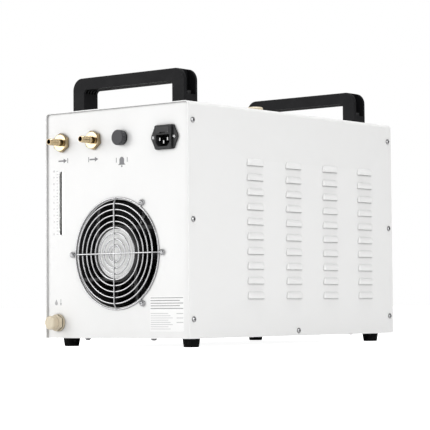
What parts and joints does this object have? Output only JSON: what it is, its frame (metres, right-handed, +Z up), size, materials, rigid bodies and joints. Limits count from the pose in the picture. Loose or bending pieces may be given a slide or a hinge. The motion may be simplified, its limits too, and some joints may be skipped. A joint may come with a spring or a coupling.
{
  "type": "industrial water chiller",
  "caption": "Portable water chiller: white sheet case with louvred sides, wire-guarded fan, hose barbs, level slot, drain, mains inlet and carrying handles.",
  "frame": {"origin": "on the floor under the middle of the bounding box", "axes": "+Z up, -Y out of the rear panel with the fan and connections, +Y out of the front panel with the display, +X to the right seen from behind"},
  "size_m": [0.2768, 0.5156, 0.3854],
  "materials": {
    "case_paint": "satin white powder coat",
    "zinc_sheet": "zinc plated sheet",
    "bright_steel": "bright plated",
    "chrome_wire": "bright chrome plated wire",
    "brass": "turned brass",
    "black_steel": "black coated",
    "supply_metal": "bare folded sheet",
    "copper": "drawn copper",
    "black_plastic": "fine grained black",
    "dark_plastic": "dark grey",
    "off_white_plastic": "off-white moulded",
    "switch_plastic": "gloss black",
    "tank_plastic": "milky moulded",
    "fan_metal": "black coated casting",
    "fan_plastic": "black moulded",
    "fin_metal": "bare fins",
    "pump_paint": "black paint",
    "rubber": "black moulded rubber",
    "hose": "grey hose",
    "board": "green board",
    "clear_glass": "clear"
  },
  "bodies": {
    "case": {"alarm_socket": "black_plastic", "base_screws": "bright_steel", "base_tray": "zinc_sheet", "cover": "case_paint", "cover_screws": "bright_steel", "display_bezel": "black_plastic", "display_board": "board", "display_window": "clear_glass", "drain_fitting": "off_white_plastic", "drain_hose": "hose", "drain_nut": "off_white_plastic", "fan_bearings": "bright_steel", "fan_frame": "fan_metal", "fan_guard": "chrome_wire", "fan_stator": "zinc_sheet", "filler_neck": "off_white_plastic", "fitting_nuts": "brass", "flow_switch": "brass", "foot_front_left": "rubber", "foot_front_right": "rubber", "foot_rear_left": "rubber", "foot_rear_right": "rubber", "foot_screws": "bright_steel", "front_handle": "black_plastic", "front_panel": "case_paint", "gauge_elbows": "off_white_plastic", "gauge_hoses": "hose", "gauge_tube": "clear_glass", "guard_screws": "bright_steel", "handle_bolts": "black_steel", "handle_nuts": "bright_steel", "inlet_fitting": "brass", "mains_inlet": "black_plastic", "mains_pins": "bright_steel", "mains_screws": "bright_steel", "outlet_fitting": "brass", "power_supply": "supply_metal", "power_switch": "black_plastic", "pump_body": "pump_paint", "pump_cover": "black_plastic", "radiator_core": "fin_metal", "radiator_hose": "hose", "radiator_shroud": "zinc_sheet", "radiator_tube": "copper", "rear_handle": "black_plastic", "rear_panel": "case_paint", "return_hose": "hose", "suction_hose": "hose", "supply_hose": "hose", "tank_lid": "tank_plastic", "water_tank": "tank_plastic"},
    "fan": {"fan_rotor": "fan_plastic", "fan_shaft": "bright_steel"},
    "impeller": {"pump_impeller": "off_white_plastic"},
    "fuse_tray": {"fuse_drawer": "black_plastic", "fuse": "clear_glass"},
    "alarm_cover": {"alarm_cap": "dark_plastic"},
    "drain_cover": {"drain_cap": "off_white_plastic"},
    "filler_cover": {"filler_cap": "off_white_plastic"},
    "rocker": {"power_rocker": "switch_plastic"}
  },
  "joints": [
    {"name": "fan_spin", "type": "hinge", "parent": "case", "child": "fan", "pos_m": [0.001, -0.20255, 0.13], "axis": [0, 1, 0], "continuous": true},
    {"name": "impeller_spin", "type": "hinge", "parent": "case", "child": "impeller", "pos_m": [-0.09, -0.02525, 0.06], "axis": [0, 1, 0], "continuous": true},
    {"name": "fuse_drawer_slide", "type": "slide", "parent": "case", "child": "fuse_tray", "axis": [0, -1, 0], "range_m": [0, 0.016]},
    {"name": "alarm_cap_pull", "type": "slide", "parent": "case", "child": "alarm_cover", "axis": [0, -1, 0], "range_m": [0, 0.012]},
    {"name": "drain_cap_pull", "type": "slide", "parent": "case", "child": "drain_cover", "axis": [0, -1, 0], "range_m": [0, 0.012]},
    {"name": "filler_cap_lift", "type": "slide", "parent": "case", "child": "filler_cover", "axis": [0, 0, 1], "range_m": [0, 0.012]},
    {"name": "power_rocker_tilt", "type": "hinge", "parent": "case", "child": "rocker", "pos_m": [0.086, 0.24895, 0.274], "axis": [1, 0, 0], "range_deg": [0, 18]}
  ]
}
